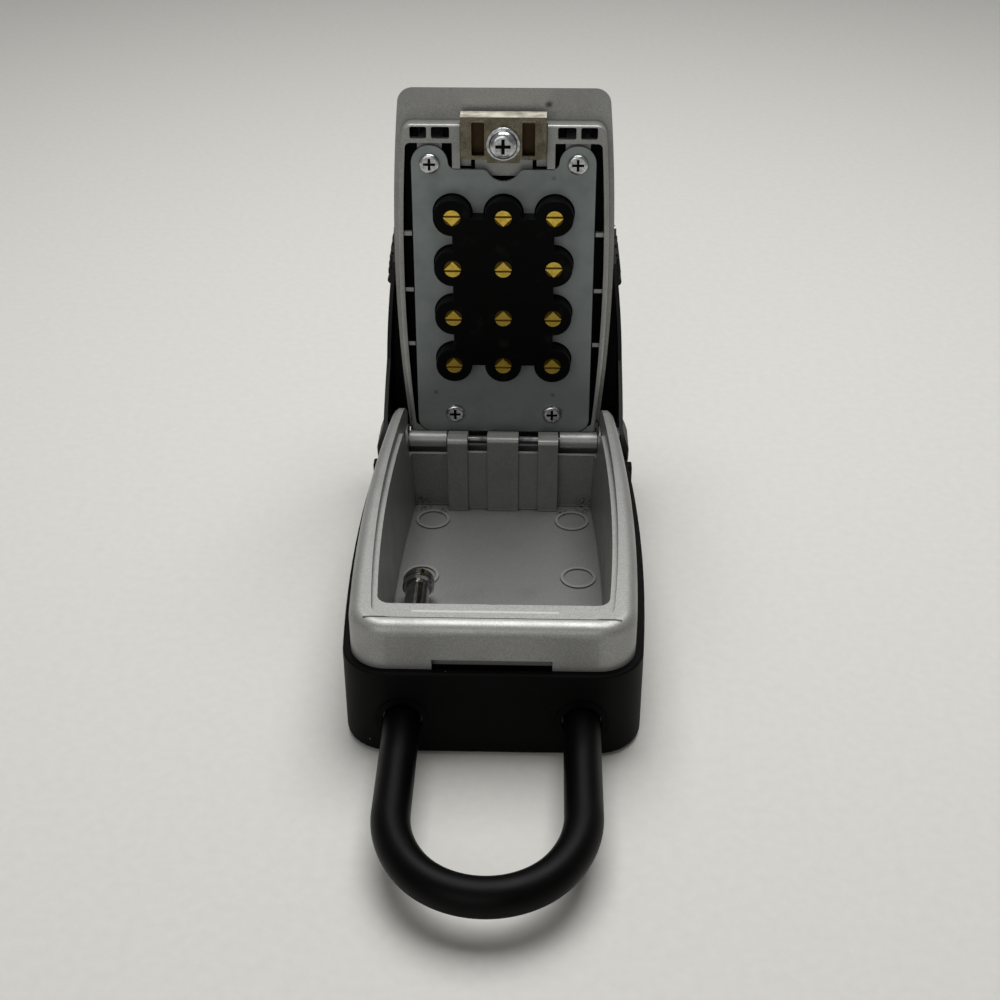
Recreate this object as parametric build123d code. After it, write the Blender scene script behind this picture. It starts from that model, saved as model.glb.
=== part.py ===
# Portable key lock box with a shackle, a key cavity and a push-button door, shown with its door open.
# X runs across the box, Y from the shackle to the hinge, Z up. The origin is the middle of the back
# face that the box lies on. All sizes are in millimetres.

import os
from math import acos, cos, degrees, hypot, radians, sin, sqrt, tan

from build123d import *

# Bumper, a rubber tub that the case sits in
bumper_length = 121.6
bumper_wall = 2.0
bumper_base = 2.5
bumper_height = 27.0
bumper_front_half = 38.6
bumper_mid_half = 41.1
bumper_back_half = 37.6
bumper_front_corner = 12.0
bumper_back_corner = 10.0
bumper_bottom_round = 2.0
bumper_rim_round = 0.7
back_lip_height = 12.0
back_lip_length = 9.6
sleeve_hole_gap = 0.5
hole_collar_width = 1.75
hole_collar_height = 0.3
ear_guard_half = 40.4
ear_guard_low = 14.0
ear_guard_high = 25.8
ear_guard_end_inset = 10.2
ear_guard_length = 6.9
ear_guard_root = 2.6
ear_guard_round = 1.0

# Case, the die-cast body with the key cavity
case_gap = 0.1
case_front_half = 36.6
case_mid_half = 38.3
case_back_half = 34.3
case_mid_place = 44.0
case_corner = 10.0
case_back_corner = 8.0
horn_round = 7.5
case_height = 40.5
case_rim_round = 3.2
case_bottom_round = 1.0
case_floor = 3.5
step_depth = 2.5
step_front_place = 6.3
step_corner = 5.5
ledge_front = 9.1
ledge_side = 1.5
ledge_end_lead = 13.4
ledge_foot_lead = 6.0
cavity_corner = 3.6
cavity_draft = 2.6
back_wall_lead = 4.0
back_wall_height = 25.2
floor_ring_radius = 5.3
floor_ring_width = 0.9
floor_ring_height = 0.5
floor_ring_places = ((22.0, 103.2), (23.6, 72.4))
notch_half = 15.5
notch_top = 30.0
notch_height = 6.0
notch_depth = 2.4

# Hinge
hinge_inset = 5.6
hinge_height = 28.3
pin_radius = 1.15
pin_gap = 0.05
rib_lead = 7.15
rib_top = 32.6
side_rib_top = 31.9
rib_top_length = 4.0
rib_top_round = 1.6
case_knuckle_radius = 2.6
middle_rib_half = 4.85
side_rib_inner = 11.1
side_rib_outer = 17.3
rib_panel_step = 0.9
rib_panel_top = 27.1
rib_panel_thickness = 1.2
pin_pocket_depth = 16.0
pin_pocket_length = 6.6
back_pocket_length = 5.1
door_knuckle_inner = 17.9
door_knuckle_outer = 29.6
door_knuckle_radius = 2.6
horn_boss_radius = 4.6
horn_boss_gap = 0.2
knuckle_gap = 0.5

# Door, measured from the hinge line: along the door, and out of its inner face
door_lean = 2.2
door_bottom_half = 30.2
door_mid_half = 33.2
door_top_half = 30.5
door_mid_place = 58.0
door_top_corner = 4.6
door_bottom_corner = 1.0
door_nest_gap = 0.4
band_level = -10.0
door_back = -22.0
door_back_round = 3.0
door_taper = 22.0
keypad_wall = 2.5
keypad_recess_half = 22.0
keypad_recess_low = 5.0
keypad_recess_high = 82.5
keypad_recess_depth = 0.6
keypad_recess_corner = 4.0
frame_top_inset = 9.4
frame_side_inset = 1.7
frame_bottom_inset = 1.2
frame_edge_round = 0.7
frame_height = 4.95
frame_corner = 3.3
rail_thickness = 1.45
bottom_bar = 2.2
top_bar = 5.4
top_bar_thickness = 1.9
well_corner = 1.5
lower_well_inset = 7.1
window_height = 3.5
window_edge = 0.65
window_round = 0.6
window_spans = ((15.7, 21.0), (22.35, 27.2))
bridge_places = (30.4, 48.4, 66.4)
bridge_width = 1.3
bridge_plate_gap = 0.45
bridge_depth = 1.2
hinge_lip_half = 30.0
hinge_lip_front = -8.2
hinge_lip_thickness = 1.8
hinge_lip_drop = 4.2

# Steel plate over the lock, its screws, and the carrier that the code dials sit in
plate_half = 27.0
plate_thickness = 1.0
plate_bottom = 0.5
plate_top = 86.6
plate_corner = 4.3
plate_blend = 2.2
screw_top_x = 21.65
screw_top_place = 88.4
screw_bottom_x = 15.3
screw_bottom_place = 6.8
scallop_half = 5.0
scallop_depth = 3.5
scallop_blend = 2.0
screw_head_radius = 3.05
screw_head_height = 1.2
screw_head_round = 0.9
screw_radius = 1.5
screw_length = 8.5
recess_arm = 1.75
recess_half = 0.4
recess_depth = 0.8
boss_radius = 3.6
boss_web_top = 95.0
lobe_radius = 5.6
lobe_gap = 0.4
lobe_round = 0.3
button_pitch_x = 15.1
button_pitch_y = 15.85
first_row_place = 25.9
carrier_flange_top = -11.0
carrier_flange_bottom = -13.5
carrier_fit = 0.4
plate_fit = 0.3

# Push buttons, and the brass code dials on their inner ends
cap_radius = 5.0
cap_proud = 2.6
cap_round = 0.7
cap_rim_radius = 5.9
cap_rim_thickness = 1.0
cap_gap = 0.2
stem_radius = 1.6
stem_gap = 0.1
button_travel = 2.5
dial_radius = 2.5
dial_thickness = 1.5
dial_proud = 0.15
dial_gap = 0.1
dial_pocket_depth = 3.0
dial_slot_half = 0.33
dial_slot_depth = 0.6
dial_slot_drop = 0.6
dial_step_depth = 0.5
dial_arrow_half = 2.3
dial_arrow_height = 2.35
spring_wire = 0.5
spring_turns = 6
spring_radius = 2.6
spring_gap = 0.3
spring_pocket_depth = 3.5
dials_turned_down = ((0, 3), (1, 3), (2, 3), (2, 2))

# Latch, the plate behind it, and the two slides on the keypad face
latch_half = 12.4
latch_height = 12.4
latch_thickness = 5.9
latch_top_inset = 6.1
latch_face = -1.6
latch_gap = 0.3
latch_travel = 3.2
latch_slot_x = 7.3
latch_slot_half = 1.87
latch_slot_height = 9.9
latch_slot_rise = 1.0
latch_slot_depth = 3.6
latch_lip_width = 0.4
latch_lip_height = 0.25
latch_slot_round = 0.5
latch_tab_half = 4.75
latch_tab_height = 1.0
latch_tab_thickness = 1.2
latch_stem_half = 4.5
latch_stem_drop = 11.0
latch_stem_height = 5.8
latch_post_width = 2.3
latch_guide_floor = 6.0
latch_tongue_half = 8.4
latch_tongue_low = 84.0
latch_tongue_thickness = 1.6
guide_slot_width = 1.2
latch_screw_drop = 7.7
washer_radius = 4.95
washer_thickness = 0.8
washer_round = 0.3
latch_screw_head_radius = 4.15
latch_screw_head_height = 2.2
latch_screw_head_round = 1.8
latch_screw_radius = 1.8
latch_recess_arm = 2.2
latch_recess_half = 0.5
latch_recess_depth = 1.3
slide_plate_half = 20.5
slide_plate_low = 20.0
slide_plate_high = 82.0
slide_plate_thickness = 1.0
slide_plate_gap = 0.8
slide_tongue_half = 9.0
slide_plate_end_drop = 5.2
lug_half = 2.2
lug_thickness = 1.5
latch_spring_radius = 1.5
latch_spring_wire = 0.4
latch_spring_turns = 9
latch_spring_length = 12.0
release_x = 5.8
release_half = 4.4
release_place = 13.5
release_height = 7.0
release_proud = 2.2
release_flange_edge = 0.6
release_post_half = 2.0
release_gap = 0.4
release_round = 0.8
clear_travel = 3.0

# Shackle with its vinyl sleeve, and the slide that locks it
shackle_half_spacing = 23.4
shackle_height = 11.7
shackle_radius = 3.5
sleeve_thickness = 1.35
shackle_straight = 34.5
bend_side_radius = 30.0
bend_tip_radius = 22.0
sleeve_end = 1.5
shaft_gap = 0.08
shaft_end = 62.6
collar_radius = 4.6
collar_length = 4.6
collar_chamfer = 0.6
collar_groove_place = 59.7
collar_groove_half = 0.3
collar_groove_depth = 0.4
short_leg_end = 13.5
short_leg_chamfer = 0.8
short_leg_gap = 0.08
lock_notch_place = 9.3
lock_notch_half = 1.55
lock_notch_depth = 1.5
lock_slide_half = 1.25
lock_slide_height = 4.0
lock_slide_length = 11.0
lock_slide_gap = 0.3
lock_travel = 1.6
lock_tab_half = 1.5
lock_tab_inset = 1.8
lock_tab_end = 19.5
lock_slot_inset = 3.2
lock_screw_radius = 0.9
lock_screw_head_radius = 1.6
lock_screw_head_height = 0.7
lock_screw_length = 4.5

# Weather cover
cover_wall = 1.2
cover_face = -28.7
cover_face_thickness = 1.8
cover_face_round = 1.2
cover_bottom = -2.5
cover_length = 88.0
cover_bottom_half = 37.4
cover_mid_half = 36.5
cover_grip_half = 32.6
cover_mid_place = 34.0
cover_grip_place = 66.0
cover_corner = 9.0
cover_rim_level = -12.9
cover_rim_start = 22.0
cover_rim_end = 54.5
cover_front_rim_level = -22.5
cover_front_rim_start = 64.5
ear_radius = 7.0
ear_inner = 36.8
ear_outer = 39.4
ear_gap = 0.7
ear_edge_round = 0.8
ear_slope_start = 0.5
ear_slope_depth = 2.1
pivot_boss_radius = 4.2
pivot_boss_gap = 0.2
grip_first = 50.9
grip_pitch = 2.2
grip_count = 7
grip_half = 0.68
grip_proud = 1.0
grip_level = -14.2
grip_depth = 7.5
grip_root = 0.6
grip_end_place = 48.1
grip_end_radius = 1.3

# Places worked out from the sizes above
front = -bumper_length / 2
case_front = front + bumper_wall + case_gap
case_back = -front - bumper_wall - case_gap
floor_level = bumper_base + case_floor
ledge_level = case_height - step_depth
step_front = front + step_front_place
cavity_front = step_front + ledge_front
hinge_place = bumper_length - hinge_inset
hinge_y = front + hinge_place
back_wall_front = hinge_y - back_wall_lead
rib_front = hinge_y - rib_lead
door_reach = hinge_place - step_front_place - door_nest_gap
frame_top_place = door_reach - frame_top_inset
latch_top_place = door_reach - latch_top_inset
latch_stem_place = latch_top_place - latch_stem_drop
slide_plate_end = latch_top_place - slide_plate_end_drop
frame_face = band_level + frame_height
plate_back = frame_face - plate_thickness
cap_back = door_back + keypad_wall
slide_plate_top = carrier_flange_bottom - slide_plate_gap
slide_plate_back = slide_plate_top - slide_plate_thickness
latch_back = latch_face - latch_thickness
latch_bottom_place = latch_top_place - latch_height
release_low = release_place - release_height / 2
release_high = release_place + release_height / 2
latch_guide_half = latch_half + latch_gap + latch_post_width
latch_guide_low = plate_top + latch_gap
latch_floor = latch_back - case_gap
latch_slot_low = latch_bottom_place + latch_slot_rise
boss_foot = cap_back - keypad_wall / 2
cap_rim_top = cap_back + cap_gap + cap_rim_thickness
spring_seat = carrier_flange_bottom + spring_pocket_depth
sleeve_radius = shackle_radius + sleeve_thickness
shackle_y = front - shackle_straight
plate_ear_radius = plate_half - screw_top_x
bottom_screw_places = [(side * screw_bottom_x, screw_bottom_place) for side in (-1, 1)]
button_columns = (-button_pitch_x, 0.0, button_pitch_x)
button_rows = tuple(first_row_place + row * button_pitch_y for row in range(4))
button_grid = [(column, row) for row in (3, 2, 1, 0) for column in (0, 1, 2)]
button_places = [(button_columns[column], button_rows[row]) for column, row in button_grid]
top_screw_places = [(side * screw_top_x, screw_top_place) for side in (-1, 1)]
screw_places = top_screw_places + bottom_screw_places
cavity_foot = cavity_front + (ledge_level - floor_level) * tan(radians(cavity_draft))
lock_slide_y = front + lock_notch_place
lock_slide_tip = shackle_half_spacing - shackle_radius - lock_slide_gap
lock_screw_x = lock_slide_tip - lock_slot_inset
latch_screw_place = latch_top_place - latch_screw_drop
latch_spring_low = slide_plate_end - lug_thickness - latch_spring_length
latch_spring_level = (cap_back + slide_plate_back) / 2
cut_over = 1.0
far = 300.0

door_plane = Plane(
    origin=(0, hinge_y, hinge_height),
    x_dir=(1, 0, 0),
    z_dir=(0, -cos(radians(door_lean)), sin(radians(door_lean))),
)

os.makedirs("parts", exist_ok=True)


# Outlines and simple solids

def bow(place, points):
    """Half width, at a place, of a round side line through three points of place and half width."""
    (a, p), (b, q), (c, r) = points
    turn = 2 * (a * (q - r) + b * (r - p) + c * (p - q))
    squares = (a * a + p * p, b * b + q * q, c * c + r * r)
    middle = (squares[0] * (q - r) + squares[1] * (r - p) + squares[2] * (p - q)) / turn
    depth = (squares[0] * (c - b) + squares[1] * (a - c) + squares[2] * (b - a)) / turn
    radius = hypot(a - middle, p - depth)
    return depth + sqrt(radius * radius - (place - middle) ** 2)


def bowed_face(low, high, half_at, low_corner=0.0, high_corner=0.0):
    """Flat outline with two bowed sides, between two places along Y, with rounded corners."""
    middle = (low + high) / 2
    stations = ((half_at(low), low), (half_at(middle), middle), (half_at(high), high))
    right = ThreePointArc(*stations)
    left = ThreePointArc(*[(-half, place) for half, place in reversed(stations)])
    face = make_face([right, Line(right @ 1, left @ 0), left, Line(left @ 1, right @ 0)])
    if low_corner:
        face = fillet(face.vertices().sort_by(Axis.Y)[:2], low_corner)
    if high_corner:
        face = fillet(face.vertices().sort_by(Axis.Y)[-2:], high_corner)
    return face


def slab(face, low, high):
    """A flat outline made solid between two levels."""
    return Pos(0, 0, low) * extrude(face, amount=high - low)


def block(x_low, x_high, y_low, y_high, z_low, z_high):
    """A box given by its limits."""
    middle = ((x_low + x_high) / 2, (y_low + y_high) / 2, (z_low + z_high) / 2)
    return Pos(*middle) * Box(x_high - x_low, y_high - y_low, z_high - z_low)


def column(x, y, radius, z_low, z_high):
    """A round column standing along Z."""
    return Pos(x, y, (z_low + z_high) / 2) * Cylinder(radius, z_high - z_low)


def bar_x(radius, x_low, x_high, y, z):
    """A round bar lying along X."""
    return Pos((x_low + x_high) / 2, y, z) * Rot(0, 90, 0) * Cylinder(radius, x_high - x_low)


def bar_y(radius, x, z, y_low, y_high):
    """A round bar lying along Y."""
    return Pos(x, (y_low + y_high) / 2, z) * Rot(90, 0, 0) * Cylinder(radius, y_high - y_low)


def profile_x(points, x_low, x_high):
    """A side profile, given by points in Y and Z, made solid across X."""
    face = make_face(Polyline(*[(x_low, y, z) for y, z in points], close=True))
    return extrude(face, amount=x_high - x_low, dir=(1, 0, 0))


def on_both_sides(solid):
    """A solid and its mirror image across the middle of the box."""
    return solid + mirror(solid, about=Plane.YZ)


def in_door(solid):
    """A solid moved from the open door's own axes to those of the box."""
    return door_plane.location * solid


def cross_recess(x, y, level, arm, half, depth):
    """The cross sunk into the top of a screw head."""
    low, high = level - depth, level + depth
    along = block(x - arm, x + arm, y - half, y + half, low, high)
    return along + block(x - half, x + half, y - arm, y + arm, low, high)


def case_half(place):
    """Half width of the case at a place along Y."""
    return bow(place - front, ((bumper_wall, case_front_half), (case_mid_place, case_mid_half),
                               (hinge_place, case_back_half)))


def door_half(place):
    """Half width of the door at a distance from the hinge line."""
    return bow(place, ((0, door_bottom_half), (door_mid_place, door_mid_half),
                       (door_reach, door_top_half)))


def frame_half(place):
    """Half width of the door's raised frame at a distance from the hinge line."""
    return bow(place, ((0, door_bottom_half - frame_bottom_inset),
                       (door_mid_place, door_mid_half - frame_side_inset),
                       (door_reach, door_top_half - frame_side_inset)))


def cover_half(place):
    """Half width of the weather cover at a distance from the hinge line."""
    return bow(place, ((0, cover_bottom_half), (cover_mid_place, cover_mid_half),
                       (cover_grip_place, cover_grip_half)))


def ear_tangent(u, n, side):
    """Where a line from a point of the side view touches the round ear."""
    square = u * u + n * n
    along = ear_radius ** 2 / square
    across = side * ear_radius * sqrt(square - ear_radius ** 2) / square
    return u * along - n * across, n * along + u * across


def closed_face(inset, low, high, low_corner):
    """The door's outline where it lies when closed, drawn in by an inset, in the box's own axes."""
    return bowed_face(low, high, lambda y: door_half(hinge_y - y) - inset, low_corner)


def door_face(inset, low, high, low_corner, high_corner):
    """The door's outline drawn in by an inset, in the door's own axes."""
    return bowed_face(low, high, lambda u: door_half(u) - inset, low_corner, high_corner)


def frame_outline(inset, low, high, low_corner, high_corner):
    """The raised frame's outline drawn in by an inset, in the door's own axes."""
    return bowed_face(low, high, lambda u: frame_half(u) - inset, low_corner, high_corner)


# Bumper

def make_bumper():
    outer_half = ((bumper_wall, bumper_front_half), (-front, bumper_mid_half),
                  (bumper_length - bumper_wall, bumper_back_half))
    outline = bowed_face(front, -front, lambda y: bow(y - front, outer_half),
                         bumper_front_corner, bumper_back_corner)
    tub = slab(outline, 0, bumper_height)
    tub = fillet(tub.edges().group_by(Axis.Z)[0], bumper_bottom_round)
    tub = fillet(tub.edges().group_by(Axis.Z)[-1], bumper_rim_round)
    for side in (-1, 1):
        x = side * shackle_half_spacing
        collar = bar_y(sleeve_radius + sleeve_hole_gap + hole_collar_width, x, shackle_height,
                       front - hole_collar_height, case_front)
        tub += collar
    guard_end = -front - ear_guard_end_inset
    guard = block(ear_guard_half - ear_guard_root, ear_guard_half, guard_end - ear_guard_length,
                  guard_end, ear_guard_low, ear_guard_high)
    tub += on_both_sides(fillet(guard.faces().sort_by(Axis.X)[-1].edges(), ear_guard_round))
    inside = bowed_face(case_front - case_gap, case_back + case_gap, lambda y: case_half(y) + case_gap,
                        case_corner + case_gap, case_back_corner + case_gap)
    tub -= slab(inside, bumper_base, far)
    for side in (-1, 1):
        tub -= bar_y(sleeve_radius + sleeve_hole_gap, side * shackle_half_spacing, shackle_height,
                     front - bumper_wall, case_front + bumper_wall)

    # Scallops leave room for the cover's ears and for its arms when it is shut, and a low lip runs
    # round the hinge end
    tub -= bar_x(ear_radius + ear_gap, -far, far, hinge_y, hinge_height)
    touch_u, touch_n = ear_tangent(cover_rim_start, cover_rim_level, 1)
    spread = 1 + ear_gap / ear_radius
    foot_y, foot_z = hinge_y - touch_u * spread, hinge_height - touch_n * spread
    end_y, end_z = foot_y - cover_rim_start + touch_u, foot_z - cover_rim_level + touch_n
    tub -= profile_x(((foot_y, foot_z), (end_y, end_z), (end_y, far), (foot_y, far)), -far, far)
    tub -= block(-far, far, -front - back_lip_length, far, back_lip_height, far)
    return tub


# Case

def make_case():
    outline = bowed_face(case_front, case_back, case_half, case_corner, case_back_corner)
    body = slab(outline, bumper_base, case_height)
    body = fillet(body.edges().group_by(Axis.Z)[-1], case_rim_round)
    body = fillet(body.edges().group_by(Axis.Z)[0], case_bottom_round)
    horn_y, horn_z = case_back - horn_round, case_height - horn_round
    horn_corner = block(-far, far, horn_y, far, horn_z, far)
    body -= horn_corner - bar_x(horn_round, -far, far, horn_y, horn_z)

    # The step that the closed door nests in, and the key cavity with its tapering walls
    past_back = case_back + cut_over
    nest = closed_face(-door_nest_gap, step_front, past_back, step_corner)
    body -= slab(nest, ledge_level, far)
    ledge_end = hinge_y - ledge_end_lead
    foot_room = profile_x(((ledge_end, ledge_level), (hinge_y - ledge_foot_lead, back_wall_height),
                           (far, back_wall_height), (far, far), (ledge_end, far)), -far, far)
    body -= slab(nest, back_wall_height, far) & foot_room
    mouth = closed_face(ledge_side - door_nest_gap, cavity_front, past_back, cavity_corner)
    cavity = extrude(Pos(0, 0, ledge_level) * mouth, amount=floor_level - ledge_level,
                     taper=cavity_draft)
    body -= cavity & block(-far, far, -far, back_wall_front, -far, far)
    body -= slab(mouth, back_wall_height, far) & block(-far, far, back_wall_front - cut_over, far, 0, far)
    body -= bar_x(door_knuckle_radius + knuckle_gap, -door_knuckle_outer - knuckle_gap,
                  door_knuckle_outer + knuckle_gap, hinge_y, hinge_height)
    body += make_hinge_ribs() + make_floor_rings() + make_side_lugs()
    horn_boss = bar_x(horn_boss_radius, door_knuckle_outer + horn_boss_gap, door_bottom_half + case_gap + door_nest_gap,
                      hinge_y, hinge_height)
    body += on_both_sides(horn_boss & block(-far, far, -far, case_back, -far, far))
    boss = bar_x(pivot_boss_radius, case_back_half - case_rim_round, ear_inner - pivot_boss_gap,
                 hinge_y, hinge_height)
    body += on_both_sides(boss)
    body -= bar_x(pin_radius + pin_gap, -far, far, hinge_y, hinge_height)
    return body - case_openings()


def make_hinge_ribs():
    """Three ribs that hold the pin, with thin panels between them."""
    ribs = []
    for low, high, top in ((-side_rib_outer, -side_rib_inner, side_rib_top),
                           (-middle_rib_half, middle_rib_half, rib_top),
                           (side_rib_inner, side_rib_outer, side_rib_top)):
        side_view = ((rib_front, floor_level), (rib_front, top), (rib_front + rib_top_length, top),
                     (hinge_y, hinge_height + case_knuckle_radius),
                     (hinge_y + case_knuckle_radius, hinge_height),
                     (hinge_y + case_knuckle_radius, floor_level))
        rib = profile_x(side_view, low, high)
        front_top = rib.edges().filter_by(Axis.X).sort_by_distance((0, rib_front, top))[0]
        rib = fillet(front_top, rib_top_round)
        ribs.append(rib + bar_x(case_knuckle_radius, low, high, hinge_y, hinge_height))
    panel_front = rib_front + rib_panel_step
    panel = block(middle_rib_half, side_rib_inner, panel_front, panel_front + rib_panel_thickness,
                  floor_level, rib_panel_top)
    return on_both_sides(panel) + ribs


def make_side_lugs():
    """The side walls' short lugs that the pin's ends pass through."""
    inner = door_knuckle_outer + knuckle_gap
    lug = bar_x(case_knuckle_radius, inner, case_back_half - case_rim_round, hinge_y, hinge_height)
    lug += block(inner, case_back_half - case_rim_round, hinge_y - case_knuckle_radius,
                 hinge_y + case_knuckle_radius, back_wall_height - cut_over, hinge_height)
    return on_both_sides(lug)


def make_floor_rings():
    """Low raised rings on the cavity floor."""
    rings = []
    for x, place in floor_ring_places:
        top = floor_level + floor_ring_height
        ring = column(x, front + place, floor_ring_radius, bumper_base + case_bottom_round, top)
        ring -= column(x, front + place, floor_ring_radius - floor_ring_width, floor_level, top)
        rings.append(on_both_sides(ring))
    return rings[0] + rings[1:]


def case_openings():
    """The pockets, notch and bores in the case's walls."""
    pocket_front = rib_front + rib_panel_step + rib_panel_thickness
    pin_pocket = block(middle_rib_half, side_rib_inner, pocket_front, pocket_front + pin_pocket_length,
                       hinge_height - pin_pocket_depth, case_height)
    back_pocket_front = back_wall_front + rib_panel_thickness
    back_pocket = block(side_rib_outer, door_knuckle_outer + knuckle_gap, back_pocket_front,
                        back_pocket_front + back_pocket_length, hinge_height - pin_pocket_depth, case_height)
    cuts = on_both_sides(pin_pocket + back_pocket)
    cuts += block(-notch_half, notch_half, front, case_front + notch_depth,
                  notch_top - notch_height, notch_top)

    # Pocket for the thrown latch, and bores for the shackle's shaft and short leg
    latch_end = hinge_y - latch_top_place - latch_gap
    cuts += block(-latch_half - latch_gap, latch_half + latch_gap, latch_end, cavity_front + cut_over,
                  hinge_height - latch_face - latch_gap, hinge_height - latch_back + latch_gap)
    latch_screw_top = latch_face + washer_thickness + latch_screw_head_height
    cuts += column(0, hinge_y - latch_screw_place, washer_radius + latch_gap,
                   hinge_height - latch_screw_top - latch_gap, ledge_level)
    cuts += bar_y(shackle_radius + shaft_gap, -shackle_half_spacing, shackle_height,
                  front, cavity_foot + cut_over)
    cuts += bar_y(shackle_radius + short_leg_gap, shackle_half_spacing, shackle_height,
                  front, front + short_leg_end + lock_slide_gap)

    # Pocket for the lock slide, open to the key cavity and to the short leg's bore
    low, high = lock_slide_limits(lock_slide_gap)
    cuts += block(lock_slide_tip - lock_slide_length - lock_slide_gap,
                  lock_slide_tip + lock_travel + lock_slide_gap,
                  lock_slide_y - lock_slide_half - lock_slide_gap, cavity_foot + cut_over, low, high)
    cuts += bar_y(lock_screw_radius + pin_gap, lock_screw_x, shackle_height,
                  lock_slide_y - lock_screw_length, lock_slide_y)
    return cuts


def lock_slide_limits(gap):
    """Lower and upper level of the lock slide, with a gap."""
    half = lock_slide_height / 2 + gap
    return shackle_height - half, shackle_height + half


# Hinge pin, held by the case and passing through the door's knuckles and the cover's ears

def make_hinge_pin():
    return bar_x(pin_radius, -ear_outer, ear_outer, hinge_y, hinge_height)


# Shackle

def shackle_rod(section, left_end, right_end):
    """A section swept along the shackle's middle line, with its legs ending at places along Y."""
    half = shackle_half_spacing
    side_turn = degrees(acos((bend_side_radius - half) / (bend_side_radius - bend_tip_radius)))
    left = Line((-half, left_end, shackle_height), (-half, shackle_y, shackle_height))
    left_bend = JernArc(left @ 1, left % 1, bend_side_radius, side_turn)
    tip = JernArc(left_bend @ 1, left_bend % 1, bend_tip_radius, 180 - 2 * side_turn)
    right_bend = JernArc(tip @ 1, tip % 1, bend_side_radius, side_turn)
    right = Line(right_bend @ 1, (half, right_end, shackle_height))
    start = Plane(origin=left @ 0, z_dir=left % 0)
    return sweep(start * section, path=left + left_bend + tip + right_bend + right)


def make_shackle_bar():
    bar = shackle_rod(Circle(shackle_radius), front + shaft_end, front + short_leg_end)
    short_end = bar.edges().filter_by(GeomType.CIRCLE).sort_by_distance(
        (shackle_half_spacing, front + short_leg_end, shackle_height))[0]
    bar = chamfer(short_end, short_leg_chamfer)
    inner_side = shackle_half_spacing - shackle_radius
    bar -= block(inner_side - cut_over, inner_side + lock_notch_depth,
                 lock_slide_y - lock_notch_half, lock_slide_y + lock_notch_half,
                 shackle_height - shackle_radius, shackle_height + shackle_radius)
    return bar


def make_shackle_sleeve():
    end = front + sleeve_end
    return shackle_rod(Circle(sleeve_radius) - Circle(shackle_radius), end, end)


def make_shackle_collar():
    end = front + shaft_end
    groove = front + collar_groove_place
    collar = bar_y(collar_radius, -shackle_half_spacing, shackle_height, end - collar_length, end)
    collar = chamfer(collar.edges().filter_by(GeomType.CIRCLE), collar_chamfer)
    low, high = groove - collar_groove_half, groove + collar_groove_half
    collar -= bar_y(collar_radius + cut_over, -shackle_half_spacing, shackle_height, low, high)
    collar += bar_y(collar_radius - collar_groove_depth, -shackle_half_spacing, shackle_height, low, high)
    return collar - bar_y(shackle_radius, -shackle_half_spacing, shackle_height, front, end)


def make_shackle_lock_slide():
    low, high = lock_slide_limits(0)
    back_end = lock_slide_tip - lock_slide_length
    plate = block(back_end, lock_slide_tip, lock_slide_y - lock_slide_half,
                  lock_slide_y + lock_slide_half, low, high)
    tab_x = back_end + lock_tab_inset
    plate += block(tab_x - lock_tab_half, tab_x + lock_tab_half, lock_slide_y,
                   front + lock_tab_end, low, high)
    slot_radius = lock_screw_radius + pin_gap
    plate -= block(lock_screw_x - lock_travel, lock_screw_x, lock_slide_y - lock_slide_half,
                   lock_slide_y + lock_slide_half, shackle_height - slot_radius,
                   shackle_height + slot_radius)
    for x in (lock_screw_x - lock_travel, lock_screw_x):
        plate -= bar_y(slot_radius, x, shackle_height, lock_slide_y - lock_slide_half,
                       lock_slide_y + lock_slide_half)
    return plate


def make_shackle_lock_screw():
    face = lock_slide_y + lock_slide_half + case_gap
    head = bar_y(lock_screw_head_radius, lock_screw_x, shackle_height, face,
                 face + lock_screw_head_height)
    shank = bar_y(lock_screw_radius, lock_screw_x, shackle_height,
                  lock_slide_y - lock_screw_length + case_gap, face)
    return head + shank


# Door casting

def make_door_shell():
    inset = (band_level - door_back) * tan(radians(door_taper))
    back_face = door_face(inset, 0, door_reach - inset, 0, door_top_corner)
    band_face = door_face(0, 0, door_reach, 0, door_top_corner)
    shell = loft([Pos(0, 0, door_back) * back_face, Pos(0, 0, band_level) * band_face], ruled=True)
    back_edges = shell.edges().group_by(Axis.Z)[0].sort_by(Axis.Y)
    shell = fillet(back_edges[1:], door_back_round)
    frame = slab(frame_outline(0, 0, frame_top_place, door_bottom_corner, frame_corner),
                 band_level, frame_face)
    frame_edges = frame.edges().group_by(Axis.Z)[-1].sort_by(Axis.Y)
    shell += fillet(frame_edges[1:], frame_edge_round)

    # The stepped well inside the frame, which runs on under the top bar with its four windows
    bar_low = frame_top_place - top_bar
    well_end = frame_top_place - rail_thickness
    shell -= slab(door_face(lower_well_inset, bottom_bar, well_end, well_corner, well_corner),
                  cap_back, carrier_flange_bottom)
    shell -= slab(frame_outline(rail_thickness, bottom_bar, bar_low, well_corner, well_corner),
                  carrier_flange_bottom, 0)
    shell -= slab(frame_outline(rail_thickness, bar_low - top_bar, well_end, 0, well_corner),
                  carrier_flange_bottom, frame_face - top_bar_thickness)
    recess = block(-plate_half - plate_fit, plate_half + plate_fit, plate_bottom - plate_fit,
                   door_mid_place, plate_back, 0)
    shell -= fillet(recess.edges().filter_by(Axis.Z).group_by(Axis.Y)[0], plate_corner)
    window_top = frame_top_place - window_edge
    for low, high in window_spans:
        window = block(low, high, window_top - window_height, window_top, band_level, 0)
        shell -= on_both_sides(fillet(window.edges().filter_by(Axis.Z), window_round))
    shell += make_door_bridges() + make_door_posts() + make_latch_guide()
    shell -= latch_channel() + keypad_openings()

    # A lip that hangs behind the hinge and closes the gap under the door
    shell += block(-hinge_lip_half, hinge_lip_half, -hinge_lip_drop, bottom_bar,
                   hinge_lip_front - hinge_lip_thickness, hinge_lip_front)
    return shell + make_door_knuckles()


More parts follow.
